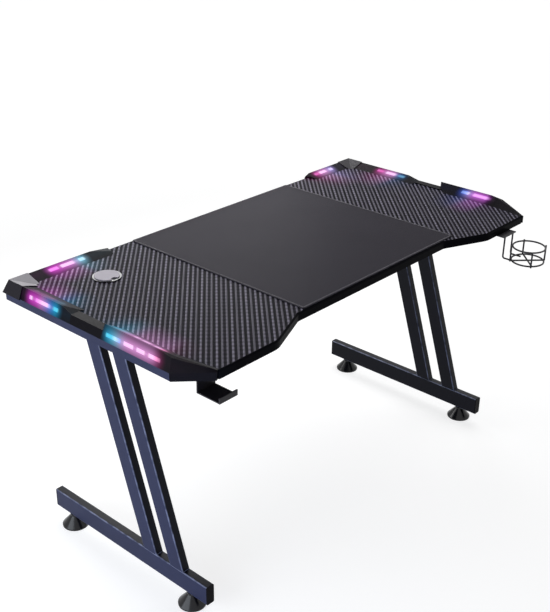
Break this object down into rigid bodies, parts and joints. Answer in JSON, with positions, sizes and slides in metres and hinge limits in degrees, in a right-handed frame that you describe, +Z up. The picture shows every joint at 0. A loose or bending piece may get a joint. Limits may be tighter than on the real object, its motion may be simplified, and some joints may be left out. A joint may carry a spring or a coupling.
{
  "type": "gaming desk",
  "caption": "Desk with a ribbed top, a mat, lit corner guards and leaning twin-tube side frames, with a cup holder and a headphone hook under the front edge.",
  "frame": {"origin": "on the floor, under the middle of the whole desk with its cup holder", "axes": "+X is the user's right, +Y points to the rear edge, +Z is up; the user sits on the -Y side"},
  "size_m": [1.41, 0.8454, 0.76],
  "materials": {
    "ribbed_laminate": "ribbed carbon-look laminate on particle board",
    "mat_cloth": "dark grey cloth on rubber with a stitched edge",
    "guard_plastic": "satin black moulded plastic",
    "cap_plastic": "satin grey moulded plastic",
    "light_lens": "milky lens over coloured lights",
    "strip_board": "white circuit board",
    "frame_paint": "black powder coat with a cool sheen",
    "plain_steel": "zinc plated steel",
    "black_gloss_plastic": "glossy black moulded plastic",
    "grey_plastic": "light grey moulded plastic",
    "cable_jacket": "black soft cable jacket"
  },
  "bodies": {
    "desk": {"cable_clips": "grey_plastic", "circuit_board": "strip_board", "control_box": "guard_plastic", "cup_holder_base": "frame_paint", "cup_holder_hangers": "frame_paint", "cup_holder_plate": "frame_paint", "cup_holder_ring": "frame_paint", "cup_holder_uprights": "frame_paint", "desk_mat": "mat_cloth", "foot_nuts": "plain_steel", "front_left_guard": "guard_plastic", "front_left_lenses": "light_lens", "front_rail": "frame_paint", "front_right_guard": "guard_plastic", "front_right_lenses": "light_lens", "grommet_ring": "black_gloss_plastic", "guard_screws": "plain_steel", "headphone_hook": "frame_paint", "left_edge_strip": "guard_plastic", "left_end_rail": "frame_paint", "left_foot_beam": "frame_paint", "left_front_leg": "frame_paint", "left_rear_leg": "frame_paint", "left_top_tube": "frame_paint", "light_cables": "cable_jacket", "light_strips": "strip_board", "power_socket": "black_gloss_plastic", "rail_bolts": "plain_steel", "rail_end_plates": "frame_paint", "rail_inserts": "plain_steel", "rear_left_corner_cap": "cap_plastic", "rear_left_guard": "guard_plastic", "rear_left_lenses": "light_lens", "rear_rail": "frame_paint", "rear_right_corner_cap": "cap_plastic", "rear_right_guard": "guard_plastic", "rear_right_lenses": "light_lens", "right_edge_strip": "guard_plastic", "right_end_rail": "frame_paint", "right_foot_beam": "frame_paint", "right_front_leg": "frame_paint", "right_rear_leg": "frame_paint", "right_top_tube": "frame_paint", "short_screws": "plain_steel", "table_board": "ribbed_laminate", "top_screws": "plain_steel", "tube_plugs": "guard_plastic"},
    "rear_left_foot": {"rear_left_foot": "black_gloss_plastic", "rear_left_stud": "plain_steel"},
    "front_left_foot": {"front_left_foot": "black_gloss_plastic", "front_left_stud": "plain_steel"},
    "rear_right_foot": {"rear_right_foot": "black_gloss_plastic", "rear_right_stud": "plain_steel"},
    "front_right_foot": {"front_right_foot": "black_gloss_plastic", "front_right_stud": "plain_steel"},
    "grommet_cap": {"grommet_cap": "grey_plastic"},
    "control_button": {"control_button": "grey_plastic"}
  },
  "joints": [
    {"name": "rear_left_foot_screw_out", "type": "slide", "parent": "desk", "child": "rear_left_foot", "axis": [0, 0, -1], "range_m": [0, 0.012]},
    {"name": "front_left_foot_screw_out", "type": "slide", "parent": "desk", "child": "front_left_foot", "axis": [0, 0, -1], "range_m": [0, 0.012]},
    {"name": "rear_right_foot_screw_out", "type": "slide", "parent": "desk", "child": "rear_right_foot", "axis": [0, 0, -1], "range_m": [0, 0.012]},
    {"name": "front_right_foot_screw_out", "type": "slide", "parent": "desk", "child": "front_right_foot", "axis": [0, 0, -1], "range_m": [0, 0.012]},
    {"name": "grommet_cap_turn", "type": "hinge", "parent": "desk", "child": "grommet_cap", "pos_m": [-0.49, 0.26775, 0.742], "axis": [0, 0, 1], "continuous": true},
    {"name": "control_button_press", "type": "slide", "parent": "desk", "child": "control_button", "axis": [0, 1, 0], "range_m": [0, 0.001], "stiffness_N_per_m": 800, "springref_m": -0.001}
  ]
}
